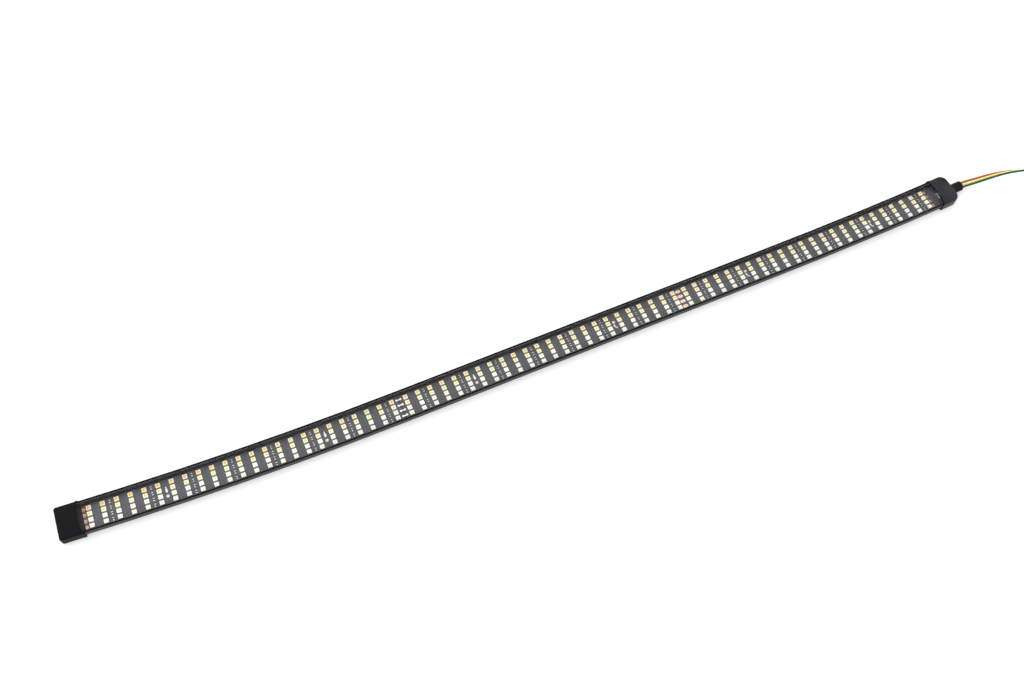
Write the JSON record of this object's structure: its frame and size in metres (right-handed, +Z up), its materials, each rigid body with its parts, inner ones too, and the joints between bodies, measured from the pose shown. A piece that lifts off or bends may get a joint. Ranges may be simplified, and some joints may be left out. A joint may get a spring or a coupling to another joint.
{
  "type": "led strip light",
  "caption": "Flexible multi-row LED strip light in a black rubber channel with a clear cover, closed end caps and a wire lead.",
  "frame": {"origin": "middle of the strip's length, on the underside that lies on or is taped to a surface", "axes": "+X along the strip to the lead end, +Y across to the amber rows' side, +Z up, the way the lights face"},
  "size_m": [0.7551, 0.0399, 0.0148],
  "materials": {
    "black_rubber": "extruded black rubber, satin, fine lengthwise drag lines",
    "black_rubber_cap": "moulded black rubber, matte with a soft sheen on its rounded shoulders",
    "black_rubber_collar": "moulded black rubber, matte, ribbed",
    "clear_cover": "clear soft plastic strip, glossy",
    "board_mask": "black solder mask over woven glass and copper, satin",
    "foam_tape": "grey acrylic foam tape",
    "release_liner": "red plastic film",
    "led_housing": "white moulded LED package, satin",
    "phosphor_amber": "amber phosphor silicone",
    "phosphor_yellow": "yellow phosphor silicone",
    "phosphor_white": "pale greenish yellow phosphor silicone",
    "solder": "tinned solder, bright",
    "resistor_black": "black chip resistor glaze",
    "bare_copper": "bare pinkish copper, slightly oxidised",
    "wire_brown": "rust brown insulation",
    "wire_yellow": "yellow insulation",
    "wire_green": "dark green insulation",
    "tie_black": "black nylon"
  },
  "bodies": {
    "root": {"adhesive_tape": "foam_tape", "channel_housing": "black_rubber", "circuit_board_long": "board_mask", "circuit_board_short": "board_mask", "clear_cover": "clear_cover", "coil_tie": "tie_black", "cut_line_pads": "bare_copper", "end_cap_closed": "black_rubber_cap", "end_cap_lead": "black_rubber_cap", "end_pads_left": "bare_copper", "end_pads_right": "bare_copper", "lead_collar": "black_rubber_collar", "lead_conductors": "solder", "lead_solder_joints": "solder", "led_bodies_row_1": "led_housing", "led_bodies_row_2": "led_housing", "led_bodies_row_3": "led_housing", "led_bodies_row_4": "led_housing", "led_lenses_row_1": "phosphor_amber", "led_lenses_row_2": "phosphor_yellow", "led_lenses_row_3": "phosphor_white", "led_lenses_row_4": "phosphor_white", "led_solder_plates": "solder", "release_liner": "release_liner", "resistor_bodies": "resistor_black", "resistor_terminals": "solder", "splice_solder_bridges": "solder", "test_dots": "bare_copper", "wire_brown": "wire_brown", "wire_coil": "wire_green", "wire_green": "wire_green", "wire_tail_brown": "wire_brown", "wire_tail_green": "wire_green", "wire_tail_yellow": "wire_yellow", "wire_yellow": "wire_yellow"}
  },
  "joints": []
}
